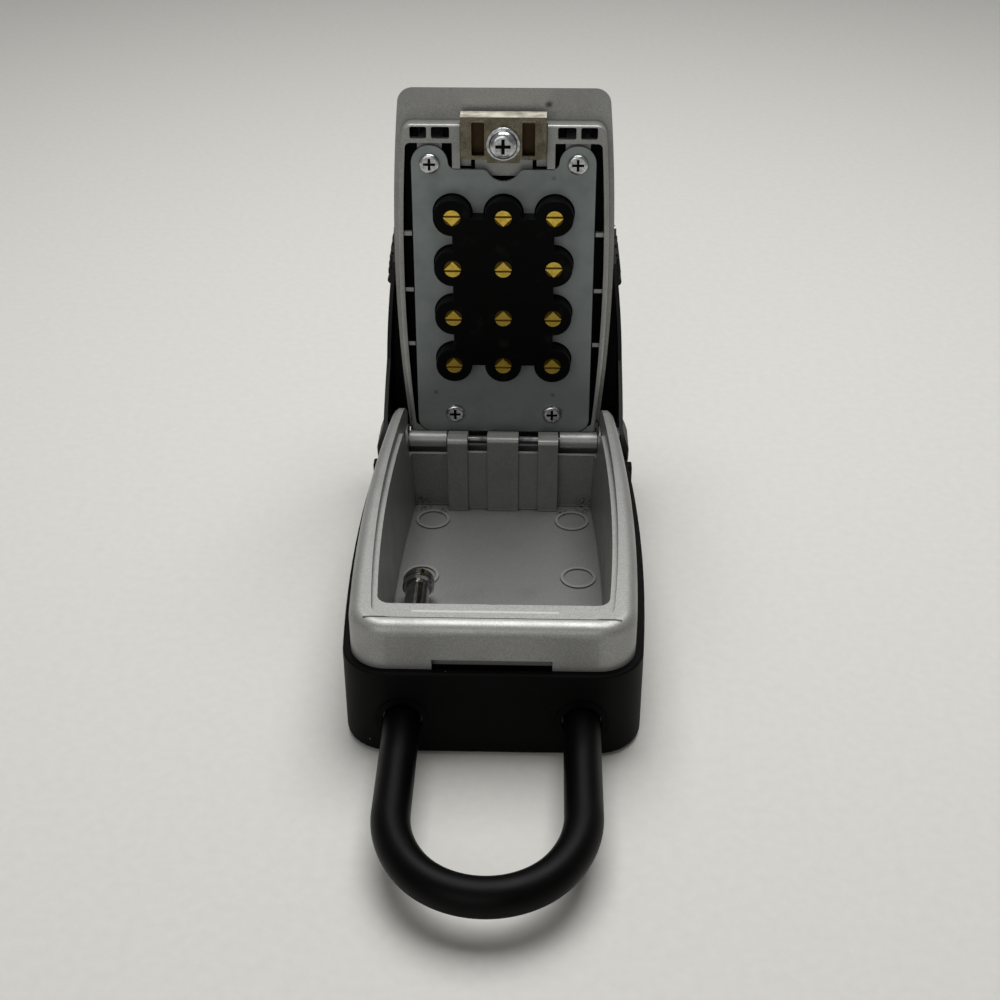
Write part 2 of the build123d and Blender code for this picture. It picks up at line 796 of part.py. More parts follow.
def make_door_bridges():
    """Short ribs that stand out from the side rails beside the plate."""
    bridges = []
    for place in bridge_places:
        outer = frame_half(place) - rail_thickness / 2
        bridge = block(plate_half + bridge_plate_gap, outer, place - bridge_width / 2,
                       place + bridge_width / 2, plate_back - bridge_depth, plate_back)
        bridges.append(on_both_sides(bridge))
    return bridges[0] + bridges[1:]


def make_door_posts():
    """Screw bosses under the plate's corners, and the post that the latch spring pushes on."""
    posts = block(-lug_half, lug_half, latch_spring_low - lug_thickness, latch_spring_low,
                  boss_foot, slide_plate_back - carrier_fit)
    for x, u in top_screw_places:
        posts += block(x - boss_radius, x + boss_radius, u, boss_web_top,
                       boss_foot, frame_face - top_bar_thickness)
    for x, u in screw_places:
        boss = column(x, u, boss_radius, boss_foot, plate_back)
        posts += boss
        posts -= column(x, u, screw_radius + pin_gap, frame_face - screw_length, plate_back)
    return posts


def make_latch_guide():
    """The block that guides the latch, with a tongue that runs under the plate's scallop."""
    guide = block(-latch_guide_half, latch_guide_half, latch_guide_low,
                  frame_top_place - rail_thickness / 2, latch_back - latch_guide_floor, frame_face)
    guide += block(-latch_tongue_half, latch_tongue_half, latch_tongue_low, latch_guide_low,
                   latch_floor - latch_tongue_thickness, latch_floor)
    slot = block(latch_tongue_half, latch_tongue_half + guide_slot_width, latch_guide_low,
                 latch_bottom_place + latch_gap, latch_back - latch_guide_floor, frame_face)
    return guide - on_both_sides(slot)


def latch_channel():
    """Room for the latch in its guide block, and for its stem down to the slide plate."""
    channel = block(-latch_half - latch_gap, latch_half + latch_gap, plate_top, door_reach,
                    latch_floor, 0)
    stem_half = latch_stem_half + latch_gap
    stem_low = latch_stem_place - latch_travel - latch_gap
    stem_high = latch_stem_place + latch_stem_height + latch_gap
    return channel + block(-stem_half, stem_half, stem_low, stem_high, slide_plate_back, 0)


def keypad_openings():
    """Holes for the buttons and the two slides, in a shallow panel on the door's outside."""
    panel = block(-keypad_recess_half, keypad_recess_half, keypad_recess_low, keypad_recess_high,
                  door_back - keypad_recess_depth, door_back + keypad_recess_depth)
    cuts = fillet(panel.edges().filter_by(Axis.Z), keypad_recess_corner)
    for x, u in button_places:
        cuts += column(x, u, cap_radius + cap_gap, door_back, cap_back + cap_gap)
    for x, travel in ((-release_x, latch_travel), (release_x, clear_travel)):
        half = release_half + release_gap
        cuts += block(x - half, x + half, release_low - travel - release_gap,
                      release_high + release_gap, door_back, cap_back + cap_gap)
    return cuts


def make_door_knuckles():
    """Two knuckles on the hinge line with the webs that join them to the door."""
    middle = (door_knuckle_inner + door_knuckle_outer) / 2
    width = door_knuckle_outer - door_knuckle_inner
    knuckle = Pos(middle, 0, 0) * Rot(0, 90, 0) * Cylinder(door_knuckle_radius, width)
    knuckle += block(door_knuckle_inner, door_knuckle_outer, knuckle_gap - door_knuckle_radius,
                     plate_bottom - plate_fit, band_level, 0)
    return on_both_sides(knuckle - Rot(0, 90, 0) * Cylinder(pin_radius + pin_gap, far))


# Plate, its screws, and the button carrier

def lobed_block(radius, low, high):
    """Twelve round lobes joined by a middle block that reaches the outer centres."""
    lobes = [column(x, u, radius, low, high) for x, u in button_places]
    return block(button_columns[0], button_columns[-1], button_rows[0], button_rows[-1],
                 low, high) + lobes


def make_lock_plate():
    plate = block(-plate_half, plate_half, plate_bottom, plate_top, plate_back, frame_face)
    plate = fillet(plate.edges().filter_by(Axis.Z).group_by(Axis.Y)[0], plate_corner)
    ear = column(screw_top_x, screw_top_place, plate_ear_radius, plate_back, frame_face)
    ear += block(screw_top_x, plate_half, screw_bottom_place + plate_corner, screw_top_place,
                 plate_back, frame_face)
    plate += on_both_sides(ear)
    plate = fillet(plate_top_edges(plate, screw_top_x), plate_blend)
    scallop_radius = (scallop_half ** 2 + scallop_depth ** 2) / (2 * scallop_depth)
    plate -= column(0, plate_top - scallop_depth + scallop_radius, scallop_radius,
                    plate_back, frame_face)
    plate = fillet(plate_top_edges(plate, 2 * scallop_half), scallop_blend)
    for x, u in screw_places:
        plate -= column(x, u, screw_radius + pin_gap, plate_back, frame_face)
    return plate - lobed_block(lobe_radius + lobe_gap, plate_back, frame_face)


def plate_top_edges(plate, reach):
    """The plate's short edges on its top line, within a reach of its middle."""
    return [edge for edge in plate.edges().filter_by(Axis.Z)
            if abs(edge.center().Y - plate_top) < pin_gap and abs(edge.center().X) < reach]


def make_plate_screws():
    screws = []
    for x, u in screw_places:
        head = column(x, u, screw_head_radius, frame_face, frame_face + screw_head_height)
        head = fillet(head.edges().group_by(Axis.Z)[-1], screw_head_round)
        shank = column(x, u, screw_radius, frame_face - screw_length + pin_gap, frame_face)
        recess = cross_recess(x, u, frame_face + screw_head_height, recess_arm, recess_half, recess_depth)
        screws.append(head + shank - recess)
    return Compound(children=screws)


def make_button_carrier():
    outline = frame_outline(rail_thickness + carrier_fit, bottom_bar + carrier_fit,
                            frame_top_place - rail_thickness - carrier_fit, well_corner, well_corner)
    flange = slab(outline, carrier_flange_bottom, carrier_flange_top)
    reach = boss_radius + carrier_fit
    for x, u in screw_places:
        flange -= column(x, u, reach, carrier_flange_bottom, carrier_flange_top)
    for x, u in top_screw_places:
        flange -= block(x - reach, x + reach, u, door_reach, carrier_flange_bottom, carrier_flange_top)
    guide = latch_guide_half + carrier_fit
    flange -= block(-guide, guide, latch_guide_low - carrier_fit, door_reach,
                    carrier_flange_bottom, carrier_flange_top)
    lobes = lobed_block(lobe_radius, carrier_flange_top, 0)
    carrier = flange + fillet(lobes.edges().group_by(Axis.Z)[-1], lobe_round)
    for x, u in button_places:
        carrier -= column(x, u, spring_radius + spring_gap, carrier_flange_bottom, spring_seat)
        carrier -= column(x, u, stem_radius + stem_gap, carrier_flange_bottom, 0)
        carrier -= column(x, u, dial_radius + dial_gap, -dial_pocket_depth, 0)
    return carrier


# Buttons, dials and springs

def make_button(x, u):
    cap = column(x, u, cap_radius, door_back - cap_proud, cap_back + cap_gap)
    cap = fillet(cap.edges().group_by(Axis.Z)[0], cap_round)
    rim = column(x, u, cap_rim_radius, cap_back + cap_gap, cap_rim_top)
    return cap + rim + column(x, u, stem_radius, cap_rim_top, dial_proud - dial_thickness)


def make_dial(x, u, half_turns):
    """A brass dial with a driver slot, stepped down beside an arrow that shows which way it is turned."""
    low, high = dial_proud - dial_thickness, dial_proud
    step = high - dial_step_depth
    arrow = make_face(Polyline((-dial_arrow_half, 0), (dial_arrow_half, 0), (0, dial_arrow_height), close=True))
    top = slab(arrow, step, high) + block(-dial_radius, dial_radius, -dial_radius, 0, step, high)
    dial = column(0, 0, dial_radius, low, step) + (top & column(0, 0, dial_radius, step, high))
    dial -= block(-dial_radius, dial_radius, -dial_slot_drop - dial_slot_half,
                  dial_slot_half - dial_slot_drop, high - dial_slot_depth, high)
    return Pos(x, u, 0) * Rot(0, 0, 180 * half_turns) * dial


def make_spring(radius, wire, turns, length):
    """A coil spring standing on the origin."""
    coil_radius = radius - wire / 2
    height = length - wire
    coil = Helix(pitch=height / turns, height=height, radius=coil_radius)
    start = Plane(origin=coil @ 0, z_dir=coil % 0)
    return Pos(0, 0, wire / 2) * sweep(start * Circle(wire / 2), path=coil)


# Latch, slide plate and the two slides

def make_latch_bolt():
    bolt = block(-latch_half, latch_half, latch_bottom_place, latch_top_place, latch_back, latch_face)
    bolt += block(-latch_tab_half, latch_tab_half, latch_bottom_place - latch_tab_height,
                  latch_bottom_place, latch_face - latch_tab_thickness, latch_face)
    slot_high = latch_slot_low + latch_slot_height
    lip_half = latch_slot_half + latch_lip_width
    lip = block(latch_slot_x - lip_half, latch_slot_x + lip_half, latch_slot_low - latch_lip_width,
                slot_high + latch_lip_width, latch_face, latch_face + latch_lip_height)
    slot = block(latch_slot_x - latch_slot_half, latch_slot_x + latch_slot_half, latch_slot_low,
                 slot_high, latch_face - latch_slot_depth, latch_face + latch_lip_height)
    bolt += on_both_sides(fillet(lip.edges().filter_by(Axis.Z), latch_slot_round + latch_lip_width))
    bolt -= on_both_sides(fillet(slot.edges().filter_by(Axis.Z), latch_slot_round))
    bolt += block(-latch_stem_half, latch_stem_half, latch_stem_place,
                  latch_stem_place + latch_stem_height, slide_plate_top, latch_back)
    return bolt - column(0, latch_screw_place, latch_screw_radius + pin_gap, slide_plate_top, latch_face)


def make_latch_screw():
    washer_top = latch_face + washer_thickness
    washer = column(0, latch_screw_place, washer_radius, latch_face, washer_top)
    washer = fillet(washer.edges().group_by(Axis.Z)[-1], washer_round)
    top = washer_top + latch_screw_head_height
    head = column(0, latch_screw_place, latch_screw_head_radius, washer_top, top)
    head = fillet(head.edges().group_by(Axis.Z)[-1], latch_screw_head_round)
    shank = column(0, latch_screw_place, latch_screw_radius, slide_plate_back, latch_face)
    recess = cross_recess(0, latch_screw_place, top, latch_recess_arm, latch_recess_half,
                          latch_recess_depth)
    return washer + head + shank - recess


def make_slide_plate():
    plate = block(-slide_plate_half, slide_plate_half, slide_plate_low, slide_plate_high,
                  slide_plate_back, slide_plate_top)
    plate += block(-slide_tongue_half, slide_tongue_half, slide_plate_high, slide_plate_end,
                   slide_plate_back, slide_plate_top)
    plate += block(-release_x - release_half, release_half - release_x, release_low, slide_plate_low,
                   slide_plate_back, slide_plate_top)
    plate += block(-lug_half, lug_half, slide_plate_end - lug_thickness, slide_plate_end,
                   cap_back + carrier_fit, slide_plate_back)
    half = spring_radius + spring_gap
    for x, u in button_places:
        plate -= block(x - half, x + half, u - half, u + half + latch_travel,
                       slide_plate_back, slide_plate_top)
    return plate - column(0, latch_screw_place, latch_screw_radius + pin_gap,
                          slide_plate_back, slide_plate_top)


def make_keypad_slide(x, post_top):
    """A thumb slide in the keypad face, with a flange inside the wall and a post above it."""
    wall_inside = cap_back + cap_gap
    knob = block(x - release_half, x + release_half, release_low, release_high,
                 door_back - release_proud, wall_inside)
    knob = fillet(knob.edges().group_by(Axis.Z)[0], release_round)
    half = release_half + release_gap + release_flange_edge
    knob += block(x - half, x + half, bottom_bar + release_gap + latch_travel,
                  button_rows[0] - cap_rim_radius - release_gap, wall_inside, cap_rim_top)
    return knob + block(x - release_post_half, x + release_post_half, release_place - release_post_half,
                        release_place + release_post_half, cap_rim_top, post_top)


# Weather cover

def make_weather_cover():
    low_end = -ear_radius - cut_over
    outline = bowed_face(low_end, cover_length, cover_half, 0, cover_corner)
    cover = slab(outline, cover_face, ear_radius)
    back_edges = cover.edges().group_by(Axis.Z)[0].sort_by(Axis.Y)
    cover = fillet(back_edges[1:], cover_face_round)
    hollow = bowed_face(low_end - cut_over, cover_length - cover_wall,
                        lambda u: cover_half(u) - cover_wall, 0, cover_corner - cover_wall)
    cover -= slab(hollow, cover_face + cover_face_thickness, ear_radius)

    # The side view: straight rims that run down to the ears on the hinge line
    side_view = ((cover_bottom, cover_face), (cover_length, cover_face),
                 (cover_length, cover_front_rim_level), (cover_front_rim_start, cover_front_rim_level),
                 (cover_rim_end, cover_rim_level), (cover_rim_start, cover_rim_level),
                 ear_tangent(cover_rim_start, cover_rim_level, 1), (0, 0),
                 ear_tangent(cover_bottom, cover_face, -1))
    side = profile_x(side_view, -ear_outer, ear_outer)
    cover = cover & side
    end_half = cover_half(cover_bottom) - cover_wall / 2
    cover += block(-end_half, end_half, cover_bottom, cover_bottom + cover_wall, cover_face, cover_rim_level)
    ear = Pos((ear_inner + ear_outer) / 2, 0, 0) * Rot(0, 90, 0) * Cylinder(ear_radius, ear_outer - ear_inner)
    outer_edge = ear.edges().filter_by(GeomType.CIRCLE).sort_by(Axis.X)[-1]
    ear = fillet(outer_edge, ear_edge_round)
    slope = make_face(Polyline((ear_outer, ear_slope_start), (ear_outer - ear_slope_depth, ear_radius),
                               (ear_outer, ear_radius), close=True))
    cover += on_both_sides(ear - slab(slope, -ear_radius, ear_radius))
    cover -= Rot(0, 90, 0) * Cylinder(ear_radius, 2 * ear_inner)
    for row in range(grip_count):
        u = grip_first + row * grip_pitch
        rib = block(cover_half(u) - grip_root, cover_half(u) + grip_proud, u - grip_half, u + grip_half,
                    grip_level - grip_depth, grip_level)
        cover += on_both_sides(rib & side)
    end_x = cover_half(grip_end_place) + grip_proud - grip_end_radius
    cover += on_both_sides(column(end_x, grip_end_place, grip_end_radius, grip_level - grip_depth, grip_level))
    return cover - Rot(0, 90, 0) * Cylinder(pin_radius + pin_gap, far)


# STEP files, named after their pieces

pieces = {
    "bumper": make_bumper(),
    "case": make_case(),
    "hinge_pin": make_hinge_pin(),
    "shackle_bar": make_shackle_bar(),
    "shackle_sleeve": make_shackle_sleeve(),
    "shackle_collar": make_shackle_collar(),
    "shackle_lock_slide": make_shackle_lock_slide(),
    "shackle_lock_screw": make_shackle_lock_screw(),
}

latch_spring = make_spring(latch_spring_radius, latch_spring_wire, latch_spring_turns, latch_spring_length)
door_pieces = {
    "door_shell": make_door_shell(),
    "lock_plate": make_lock_plate(),
    "plate_screws": make_plate_screws(),
    "button_carrier": make_button_carrier(),
    "latch_bolt": make_latch_bolt(),
    "latch_screw": make_latch_screw(),
    "latch_spring": Pos(0, latch_spring_low, latch_spring_level) * Rot(-90, 0, 0) * latch_spring,
    "slide_plate": make_slide_plate(),
    "release_slide": make_keypad_slide(-release_x, slide_plate_back),
    "clear_slide": make_keypad_slide(release_x, carrier_flange_bottom - case_gap),
    "weather_cover": make_weather_cover(),
}
button_spring = make_spring(spring_radius, spring_wire, spring_turns, spring_seat - cap_rim_top)
for number, (column_row, (x, u)) in enumerate(zip(button_grid, button_places), 1):
    door_pieces[f"push_button_{number}"] = make_button(x, u)
    door_pieces[f"code_dial_{number}"] = make_dial(x, u, int(column_row in dials_turned_down))
    door_pieces[f"button_spring_{number}"] = Pos(x, u, cap_rim_top) * button_spring
for name, solid in door_pieces.items():
    pieces[name] = in_door(solid)

for name, solid in pieces.items():
    export_step(solid, f"parts/{name}.step")
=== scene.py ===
# %% [markdown]
# # A portable key lock box
# The box lies on its back with its door standing open. The case and the door are die-cast zinc with
# satin silver paint, the tub round the case and the cover behind the door are black rubber, and the
# shackle is a steel rod in a black vinyl sleeve. The shapes come ready made and in place, so this
# lesson is about finishes, printed numerals, light and the camera.

from math import cos, radians, sin

import bpy
from mathutils import Matrix, Vector


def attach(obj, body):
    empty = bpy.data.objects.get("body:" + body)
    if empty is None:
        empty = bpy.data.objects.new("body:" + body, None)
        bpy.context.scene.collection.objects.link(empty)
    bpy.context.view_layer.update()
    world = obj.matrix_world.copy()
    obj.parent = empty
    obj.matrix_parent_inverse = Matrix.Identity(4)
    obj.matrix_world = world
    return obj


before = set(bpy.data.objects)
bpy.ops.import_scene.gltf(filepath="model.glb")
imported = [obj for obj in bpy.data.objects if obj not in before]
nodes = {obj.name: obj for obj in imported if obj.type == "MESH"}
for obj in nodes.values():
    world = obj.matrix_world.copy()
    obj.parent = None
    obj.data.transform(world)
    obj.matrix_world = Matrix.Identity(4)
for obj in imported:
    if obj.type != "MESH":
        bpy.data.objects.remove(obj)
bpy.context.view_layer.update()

# %% [markdown]
# ## Sizes in millimetres
# The model is in metres. A maker thinks of this box in millimetres, so a few lengths are given in
# them and turned into metres, and a pattern's scale is worked out from the size of its grain.
# A noise texture with scale 1 has features about one unit apart, so a grain of so many millimetres
# needs one unit divided by the grain. The open door leans back a little, so places on it are counted
# from the hinge line in the door's own directions.

# %% Units, and the open door's own directions
MM = 0.001


def pattern_scale(grain_mm):
    """Texture scale that gives features about so many millimetres apart."""
    return 1 / (grain_mm * MM)


door_lean = radians(2.2)
door_length = 109.3
hinge = Vector((0, 55.2, 28.3)) * MM
door_up = Vector((0, sin(door_lean), cos(door_lean)))
door_out = Vector((0, -cos(door_lean), sin(door_lean)))


def on_door(x, up, out):
    """A point in millimetres from the hinge line: across, up the door, and out of its inside."""
    return Vector((x * MM, 0, 0)) + hinge + door_up * up * MM + door_out * out * MM


print("door top is at", on_door(0, door_length, 0))

# %% [markdown]
# ## Colours and nodes
# Colours are written as the hex values that a paint program shows, which are sRGB. Shaders work in
# linear light, so one function turns them, with the sRGB standard's own numbers. Another adds a node
# of any kind: an input that is given another node's output is linked to it, and any other input is
# set. The Mix node has inputs for several kinds of value, so those for colours are named once here.


# %% Colour and node helpers
def colour(hex_value):
    """Linear colour with alpha from an sRGB hex value."""
    channels = [int(hex_value[i:i + 2], 16) / 255 for i in (0, 2, 4)]
    linear = [c / 12.92 if c <= 0.04045 else ((c + 0.055) / 1.055) ** 2.4 for c in channels]
    return (*linear, 1.0)


def add_node(tree, kind, inputs=None, output=0, **settings):
    """Add a node with its settings and inputs, and give back one of its outputs."""
    node = tree.nodes.new("ShaderNode" + kind)
    for name, value in settings.items():
        setattr(node, name, value)
    for name, value in (inputs or {}).items():
        if isinstance(value, bpy.types.NodeSocket):
            tree.links.new(value, node.inputs[name])
        else:
            node.inputs[name].default_value = colour(value) if isinstance(value, str) else value
    return node.outputs[output]


colour_mix = {"data_type": "RGBA", "output": 2}
amount, under, over = 0, 6, 7


def new_material(name, base, metallic, roughness, gloss=0.5):
    """A material with a plain shader: its node tree and the shader node come back too."""
    material = bpy.data.materials.new(name)
    material.use_nodes = True
    material.diffuse_color = colour(base)
    shader = material.node_tree.nodes["Principled BSDF"]
    shader.inputs["Base Color"].default_value = colour(base)
    shader.inputs["Metallic"].default_value = metallic
    shader.inputs["Roughness"].default_value = roughness
    shader.inputs["Specular IOR Level"].default_value = gloss
    return material, material.node_tree, shader


def connect(tree, shader, tone, sheen, relief):
    """Link a colour, a roughness and a bumped normal to a shader."""
    for socket, output in (("Base Color", tone), ("Roughness", sheen), ("Normal", relief)):
        tree.links.new(output, shader.inputs[socket])


print("mid grey 808080 is linear", round(colour("808080")[0], 3))

# %% [markdown]
# ## Marks that several finishes share
# Wear and dirt are what make a handled thing look real. They could be painted by hand on an image,
# but here they come from the surface point alone: dots on a random grid for pin-holes and dust, a
# ragged spot round a chosen place for a smudge, and the distance along a direction for whatever lies
# deeper or higher than the rest. Most of a noise texture's values lie between 0.3 and 0.7, so a
# pattern that uses its whole swing is mapped from that range.

# %% Dots, stains and depth
noise_low, noise_high = 0.3, 0.7
dot_core = 0.6
stain_core, stain_edge = 0.6, 1.35


def dots(tree, point, spacing_mm, size, share):
    """1 inside round dots on a random grid, with a share of the cells holding one."""
    cells = {"Vector": point, "Scale": pattern_scale(spacing_mm)}
    distance = add_node(tree, "TexVoronoi", cells, output="Distance")
    choice = add_node(tree, "TexVoronoi", cells, output="Color")
    inside = add_node(tree, "MapRange", {"Value": distance, "From Min": size,
                                         "From Max": size * dot_core})
    chosen = add_node(tree, "MapRange", {"Value": choice, "From Min": share,
                                         "From Max": share - 0.01})
    return add_node(tree, "Math", {0: inside, 1: chosen}, operation="MULTIPLY")


def stain(tree, point, place, reach_mm, ragged):
    """1 at a place and 0 beyond its reach, with an edge broken up by noise."""
    reach = reach_mm * MM
    distance = add_node(tree, "VectorMath", {0: point, 1: place}, output="Value",
                        operation="DISTANCE")
    broken = add_node(tree, "Math", {0: ragged, 1: reach, 2: distance}, operation="MULTIPLY_ADD")
    return add_node(tree, "MapRange", {"Value": broken, "From Min": reach * stain_edge,
                                       "From Max": reach * stain_core})


def reach_along(tree, point, direction, start):
    """How many millimetres a point lies along a direction from a start."""
    distance = add_node(tree, "VectorMath", {0: point, 1: direction}, output="Value",
                        operation="DOT_PRODUCT")
    return add_node(tree, "Math", {0: distance, 1: 1 / MM, 2: -start.dot(direction) / MM},
                    operation="MULTIPLY_ADD")


print("a grain of 0.5 mm needs scale", pattern_scale(0.5))

# %% [markdown]
# ## Satin silver paint on die-cast zinc
# The case and the door are cast in zinc and sprayed with a silver paint whose aluminium flakes give a
# soft metallic sparkle. It could be a car-paint shader with two layers, but a part-metallic surface
# with flake-sized changes of brightness and a light orange-peel relief shows the same. A real flake
# is a few hundredths of a millimetre, too fine to render, so it is drawn at a third of a millimetre.
# Dark pin-holes, a thumbed grey smudge and the dirt that gathers in the cavity's back corners come
# from dots and stains. Every crease is painted darker as shade, which an ambient occlusion node finds,
# as it tells how much of the sky a point can see.

# %% Silver paint
flake_mm, peel_mm, ragged_mm, crumb_mm, cloud_mm = 0.35, 0.7, 1.6, 0.8, 14.0
flake_colours = ("898987", "9F9F9C")
dulled_paint, smudge_grey, corner_dirt, crease_shade = "72706B", "4A4740", "0C0A08", "2B2A28"
pin_holes = ((5.0, 0.05, 0.3, "2C2A27"), (2.4, 0.06, 0.16, "56534E"))


def silver_paint(name, smudges, dirt):
    """Satin silver paint with smudges and dirt, each a list of places with their reach in mm."""
    material, tree, shader = new_material(name, "949491", 0.55, 0.42)
    point = add_node(tree, "TexCoord", output="Object")
    flake, cloud, ragged, peel = (
        add_node(tree, "TexNoise", {"Vector": point, "Scale": pattern_scale(size), "Detail": detail})
        for size, detail in ((flake_mm, 1.0), (cloud_mm, 4.0), (ragged_mm, 3.0), (peel_mm, 2.0)))
    shine = add_node(tree, "MapRange", {"Value": flake, "From Min": noise_low,
                                        "From Max": noise_high})
    paint = add_node(tree, "Mix", {amount: shine, under: flake_colours[0], over: flake_colours[1]},
                     **colour_mix)
    dull = add_node(tree, "MapRange", {"Value": cloud, "From Min": 0.45, "From Max": 0.8,
                                       "To Max": 0.35})
    paint = add_node(tree, "Mix", {amount: dull, under: paint, over: dulled_paint}, **colour_mix)
    for place, reach in smudges:
        smudge = stain(tree, point, place, reach, ragged)
        paint = add_node(tree, "Mix", {amount: smudge, under: paint, over: smudge_grey},
                         **colour_mix)
    crumbs = add_node(tree, "TexNoise", {"Vector": point, "Scale": pattern_scale(crumb_mm),
                                         "Detail": 2.0})
    patchy = add_node(tree, "MapRange", {"Value": crumbs, "From Min": 0.48, "From Max": 0.55})
    for place, reach in dirt:
        grime = add_node(tree, "Math", {0: stain(tree, point, place, reach, ragged), 1: patchy},
                         operation="MULTIPLY")
        paint = add_node(tree, "Mix", {amount: grime, under: paint, over: corner_dirt},
                         **colour_mix)
    for spacing_mm, size, share, tint in pin_holes:
        holes = dots(tree, point, spacing_mm, size, share)
        paint = add_node(tree, "Mix", {amount: holes, under: paint, over: tint}, **colour_mix)
    # Creases are painted darker as shade, from how much of the sky each point sees.
    open_sky = add_node(tree, "AmbientOcclusion", {"Distance": 1.2 * MM}, output="AO",
                        samples=8, only_local=True)
    crease = add_node(tree, "MapRange", {"Value": open_sky, "From Min": 0.7, "From Max": 0.35,
                                         "To Max": 0.75})
    paint = add_node(tree, "Mix", {amount: crease, under: paint, over: crease_shade}, **colour_mix)
    satin = add_node(tree, "MapRange", {"Value": cloud, "From Min": noise_low,
                                        "From Max": noise_high, "To Min": 0.38, "To Max": 0.5})
    relief = add_node(tree, "Bump", {"Height": peel, "Distance": 0.015 * MM})
    connect(tree, shader, paint, satin, relief)
    return material, tree, shader, point, paint


case_dirt = [(Vector((side * x, y, z)) * MM, reach) for x, y, z, reach in
             ((26.0, 50.0, 7.0, 5.0), (19.0, 47.5, 6.0, 3.0)) for side in (-1, 1)]
case_paint, tree, shader, point, paint = silver_paint("silver_paint_case", [], case_dirt)
print("painted finish:", case_paint.name, "with", len(case_dirt), "dirty corners")

# %% [markdown]
# ## Masks for hollows and bands
# The faces of a hollow look towards its middle, and a mark has two ends. Both could be picked out
# face by face, but the surface point and its direction find them for any shape, so one mask compares
# the way a face looks with the way to the middle, and another cuts out a band between two distances.


# %% Masks for hollows and bands
def looks_into(tree, point, middle):
    """1 on the faces that look towards the middle of a hollow and 0 on those that look away."""
    surface_direction = add_node(tree, "TexCoord", output="Normal")
    to_middle = add_node(tree, "VectorMath", {0: middle, 1: point}, operation="SUBTRACT")
    towards = add_node(tree, "VectorMath", {0: to_middle, 1: surface_direction}, output="Value",
                       operation="DOT_PRODUCT")
    return add_node(tree, "MapRange", {"Value": towards, "From Min": 0.0, "From Max": 0.5 * MM})


def band(tree, distance, low, high, edge):
    """1 where a distance is between two values and 0 outside, with soft edges."""
    above = add_node(tree, "MapRange", {"Value": distance, "From Min": low - edge,
                                        "From Max": low + edge})
    below = add_node(tree, "MapRange", {"Value": distance, "From Min": high + edge,
                                        "From Max": high - edge})
    return add_node(tree, "Math", {0: above, 1: below}, operation="MULTIPLY")


print("masks:", looks_into.__name__, "and", band.__name__)

# %% [markdown]
# ## Painted shade, highlights and marks on the case
# The key cavity's walls and floor are painted darker than the rim as shade, and the tops of the raised
# rings on the floor are painted bright as a highlight. A bright line is painted on the ledge in front
# of the cavity, the rim's inner edge is outlined with painted shade, and painted shadow darkens the
# notch at the front, low down and along its top edge. Each mark is a box: a band along each of the
# case's three directions, in millimetres.

# %% Cavity, rings, ledge and notch
cavity_middle = Vector((0, 0, 20.0)) * MM
# The cavity's walls and floor, the faces that look into it, are painted darker as shade.
cavity_shade, cavity_shade_share = "2E2E2D", 0.33
cavity_shade_amount = add_node(tree, "Math", {0: looks_into(tree, point, cavity_middle), 1: cavity_shade_share},
                operation="MULTIPLY")
paint = add_node(tree, "Mix", {amount: cavity_shade_amount, under: paint, over: cavity_shade}, **colour_mix)
case_distances = [reach_along(tree, point, Vector(direction), Vector((0, 0, 0)))
                  for direction in ((1, 0, 0), (0, 1, 0), (0, 0, 1))]
# Each row has the mark's reach across, along and up, its soft edge, its colour and its strength
case_marks = (
    # Painted highlight on the tops of the floor rings.
    ("ring tops", (-30, 30), (-16, 52), (6.3, 6.7), 0.06, "A9A9A5", 0.3),
    # A bright line painted along the ledge in front of the cavity.
    ("worn ledge", (-21, 17), (-48.9, -48.3), (37.5, 38.5), 0.3, "DCDCD8", 0.45),
    # Painted shade along the rim's inner edge.
    ("rim outline", (-33, 33), (-54.85, -54.2), (39.0, 41.0), 0.1, "1C1B1A", 0.9),
    ("notch shadow", (-15.8, 15.8), (-58.0, -52.0), (20.0, 26.8), 0.12, "020202", 1.0),
    # Painted shadow along the notch's top edge.
    ("notch top edge", (-15.8, 15.8), (-58.0, -52.0), (28.25, 30.3), 0.06, "020202", 1.0),
)
for label, *reaches, edge, tint, strength in case_marks:
    mark = strength
    for distance, (low, high) in zip(case_distances, reaches):
        mark = add_node(tree, "Math", {0: mark, 1: band(tree, distance, low, high, edge)},
                        operation="MULTIPLY")
    paint = add_node(tree, "Mix", {amount: mark, under: paint, over: tint}, **colour_mix)
tree.links.new(paint, shader.inputs["Base Color"])
print("case marks:", [row[0] for row in case_marks])

# %% [markdown]
# ## Painted shade inside the door
# The inside of the door is painted near black as shade, on the faces that look into it. That painted
# shade shows through the four small windows and the gaps beside the plate, so it sets off the bright
# frame. It starts behind the frame's face, and the lip behind the hinge is painted in the same shade.
# Distances are in millimetres from the hinge line, and one that lies behind it is negative.

# %% Silver paint on the door, with painted shade inside
door_smudges = [(on_door(13.0, 104.6, -10.0), 1.6)]
door_paint, tree, shader, point, paint = silver_paint("silver_paint_door", door_smudges, [])
depth = reach_along(tree, point, door_out, hinge)
height = reach_along(tree, point, door_up, hinge)
# The inside of the door is painted near black as shade.
inside_shade_start, inside_shade_full = -5.3, -6.0
deep = add_node(tree, "MapRange", {"Value": depth, "From Min": inside_shade_start, "From Max": inside_shade_full})
inner_faces = looks_into(tree, point, on_door(0, 55.0, -12.0))
inside_shade = add_node(tree, "Math", {0: inner_faces, 1: deep}, operation="MULTIPLY")
paint = add_node(tree, "Mix", {amount: inside_shade, under: paint, over: "0B0B0A"}, **colour_mix)
